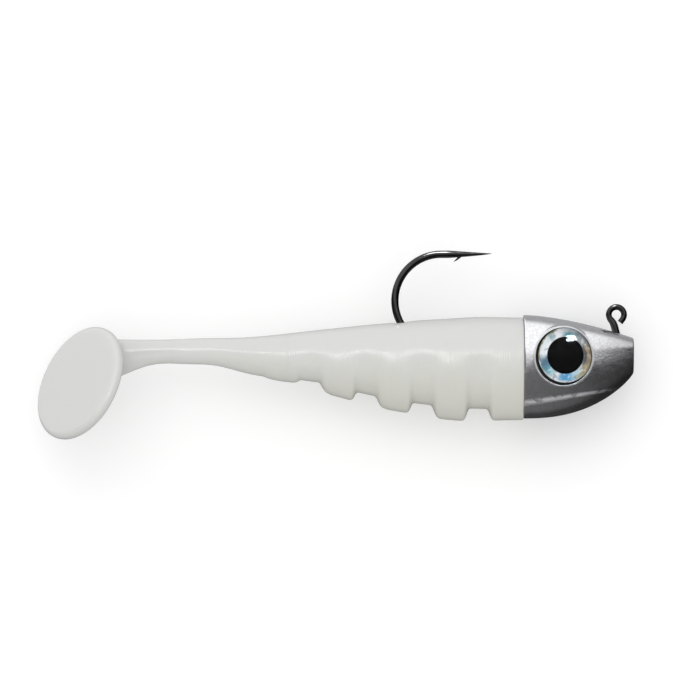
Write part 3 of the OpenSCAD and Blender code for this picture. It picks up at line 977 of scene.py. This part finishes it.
def hook():
    """One length of wire, flattened at the bend, with a cut barb under the point."""
    path, radii, bend, tip = hook_path()
    near_bend = [math.dist(place, bend) < FLAT_REACH and place[0] < bend[0] + 1 * MM for place in path]
    flatten = np.where(near_bend, FLAT_SHARE, 1.0)
    flatten = np.convolve(np.pad(flatten, 6, mode="edge"), np.ones(13) / 13, mode="valid")
    root = (tip[0] - BARB_BACK, tip[1] - BARB_SINK)
    shares = [k / 10 for k in range(11)]
    barb = [(root[0] - BARB_LONG * t, root[1] - BARB_DROP * t ** 0.8) for t in shares]
    barb_radii = [WIRE_R * (0.42 * (1 - t) ** 0.7 + 0.015) for t in shares]
    made = build("hook_wire", [sweep(path, radii, flatten), sweep(barb, barb_radii, [1.1] * len(barb))])
    finish_piece(made, nickel_material(), "head", ["jig_hook"])


# --- Stage, lights, camera ------------------------------------------------------------------

SOFT_PIECES = ("soft_body_front", "soft_body_rear", "soft_tail_paddle")
DOMES = ("dome_right", "dome_left")
WHITE, SKY = (1, 1, 1), (0.86, 0.95, 1.0)
# Soft boxes: name, azimuth and elevation from the camera side in degrees, distance, width and height in
# metres, power in watts, colour, the pieces that it lights (none named: all of them)
LIGHTS = (
    ("key", -12, 40, 0.6, 0.45, 0.45, 0.39, WHITE, ()),
    ("front_strip", -4, 7, 0.5, 0.13, 0.12, 0.11, WHITE, SOFT_PIECES),
    ("front_slit", -4, 6, 0.5, 0.025, 0.07, 0.11, WHITE, SOFT_PIECES),
    ("rear_slit", -14, 6, 0.5, 0.03, 0.07, 0.09, WHITE, SOFT_PIECES),
    ("hook_glint", -6, 62, 0.5, 0.16, 0.20, 4.0, WHITE, ("hook_wire",)),
    ("eye_spark", 40, 36, 0.5, 0.16, 0.11, 90.0, SKY, DOMES),
)
AMBIENT_LOW, AMBIENT_HIGH = 0.845, 1.03      # the studio's even light from below and from above
TABLE_GAP = 0.3 * MM             # the table starts this far behind the lure
PADDLE_ROOM = 12 * MM            # the table stays this far behind the paddle's middle
TABLE_REACH = 0.9                # from its middle to its edges
TABLE_GLOW = 0.085               # light that the table adds of its own, like a light table


def area_light(name, azimuth, elevation, distance, width, height, power, colour, pieces, target):
    """Soft box aimed at the target; one that names pieces lights only those."""
    a, e = math.radians(azimuth), math.radians(elevation)
    out = Vector((math.sin(a) * math.cos(e), -math.cos(a) * math.cos(e), math.sin(e)))
    lamp = bpy.data.lights.new(name, "AREA")
    lamp.shape = "RECTANGLE"
    lamp.size, lamp.size_y = width, height
    lamp.energy = power
    lamp.color = colour
    made = bpy.data.objects.new(name, lamp)
    made.location = target + out * distance
    made.rotation_euler = out.to_track_quat("Z", "Y").to_euler()
    bpy.context.scene.collection.objects.link(made)
    if pieces:
        group = bpy.data.collections.new("lit_by_" + name)
        for piece in pieces:
            group.objects.link(bpy.data.objects[piece])
        made.light_linking.receiver_collection = group
    return made


def floor_material():
    """White table seen from its front; from behind it lets the view through."""
    g = Finish("white_table")
    g.set(Base_Color=rgb(0.98, 0.98, 0.98), Roughness=0.9, Specular_IOR_Level=0.0,
          Emission_Color=rgb(1, 1, 1), Emission_Strength=TABLE_GLOW)
    back = g.node("NewGeometry", {}).outputs["Backfacing"]
    clear = g.node("BsdfTransparent", {}).outputs[0]
    both = g.node("MixShader", {0: back, 1: g.surface.outputs[0], 2: clear}).outputs[0]
    g.links.new(both, g.nodes["Material Output"].inputs["Surface"])
    return g.material


def table(middle, behind):
    """The pale surface behind the lure, which lies on it; it moves back when the tail bends towards it."""
    mesh = bpy.data.meshes.new("table_top")
    points = [(middle.x + sx * TABLE_REACH, 0, middle.z + sz * TABLE_REACH)
              for sx, sz in ((-1, -1), (1, -1), (1, 1), (-1, 1))]
    mesh.from_pydata(points, [], [(0, 1, 2, 3)])
    mesh.materials.append(floor_material())
    made = bpy.data.objects.new("table_top", mesh)
    bpy.context.scene.collection.objects.link(made)
    made.visible_glossy = made.visible_diffuse = False
    made.location.y = PADDLE_ROOM
    paddle_place = bpy.data.objects.new("paddle_place", None)
    paddle_place.location = PADDLE_MIDDLE
    bpy.context.scene.collection.objects.link(paddle_place)
    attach(paddle_place, "paddle")
    follow = made.constraints.new("COPY_LOCATION")
    follow.target = paddle_place
    follow.use_x = follow.use_z = False
    follow.use_offset = True
    limit = made.constraints.new("LIMIT_LOCATION")
    limit.use_min_y = True
    limit.min_y = behind


def surroundings():
    """White studio: even for diffuse light; a bright upper half and dark lower half for reflections."""
    world = bpy.data.worlds.new("studio")
    bpy.context.scene.world = world
    world.use_nodes = True
    g = Graph(world.node_tree)
    g.nodes.clear()
    x, y, z = g.split(g.node("TexCoord", {}).outputs["Generated"])
    squared = g.math("MULTIPLY", x, x)
    height = g.math("MULTIPLY_ADD", g.math("MULTIPLY", squared, squared), -0.4, z)
    low = g.range(x, 0.0, 0.7, 0.13, 0.04, "LINEAR")
    above = g.range(height, -0.06, 0.02, low, 1.2)
    ahead = g.range(g.math("ADD", x, y), 0.0, 0.5, 1.0, 0.35)
    dim = g.range(x, 0.2, 0.9, 1.0, 0.5)
    mirrored = g.math("MULTIPLY", g.math("MULTIPLY", above, ahead), dim)
    overhead = g.range(z, -1.0, 1.0, AMBIENT_LOW, AMBIENT_HIGH, "LINEAR")
    gloss, even, white = (g.node("Background", {"Color": colour}).outputs[0]
                          for colour in (mirrored, overhead, rgb(1, 1, 1)))
    path = g.node("LightPath", {}).outputs
    soft = g.node("MixShader", {0: path["Is Glossy Ray"], 1: even, 2: gloss}).outputs[0]
    last = g.node("MixShader", {0: path["Is Camera Ray"], 1: soft, 2: white}).outputs[0]
    g.node("OutputWorld", {"Surface": last})


LENS = 200.0
SENSOR = 36.0
VIEW_WIDTH = 1.1755              # picture width over the lure's length
AIM_AHEAD = 0.0248               # how far ahead of the lure's middle the camera looks, over its length
AIM_BELOW = 0.0092               # and how far below


def studio_camera(middle, length):
    """Long lens, level, square to the lure's side."""
    camera = bpy.data.cameras.new("camera")
    camera.lens = LENS
    camera.sensor_width = SENSOR
    camera.clip_start, camera.clip_end = 0.01, 10
    made = bpy.data.objects.new("camera", camera)
    aim = middle + Vector((AIM_AHEAD * length, 0, -AIM_BELOW * length))
    made.location = aim - Vector((0, VIEW_WIDTH * length / 2 / (SENSOR / 2 / LENS), 0))
    made.rotation_euler = (math.pi / 2, 0, 0)
    bpy.context.scene.collection.objects.link(made)
    bpy.context.scene.camera = made


def studio():
    """Surroundings, table, lights and camera, placed by the CAD's box."""
    low, high = CAD_BOX
    middle = (low + high) / 2
    middle.y = 0
    surroundings()
    table(middle, high.y + TABLE_GAP)
    for light in LIGHTS:
        made = area_light(*light, middle)
        made.visible_glossy = light[0] != "key"      # the key leaves no mirror image
    studio_camera(middle, high.x - low.x)
    bpy.context.scene.view_settings.view_transform = "Standard"


soft_body()
head()
eyes()
hook()
studio()
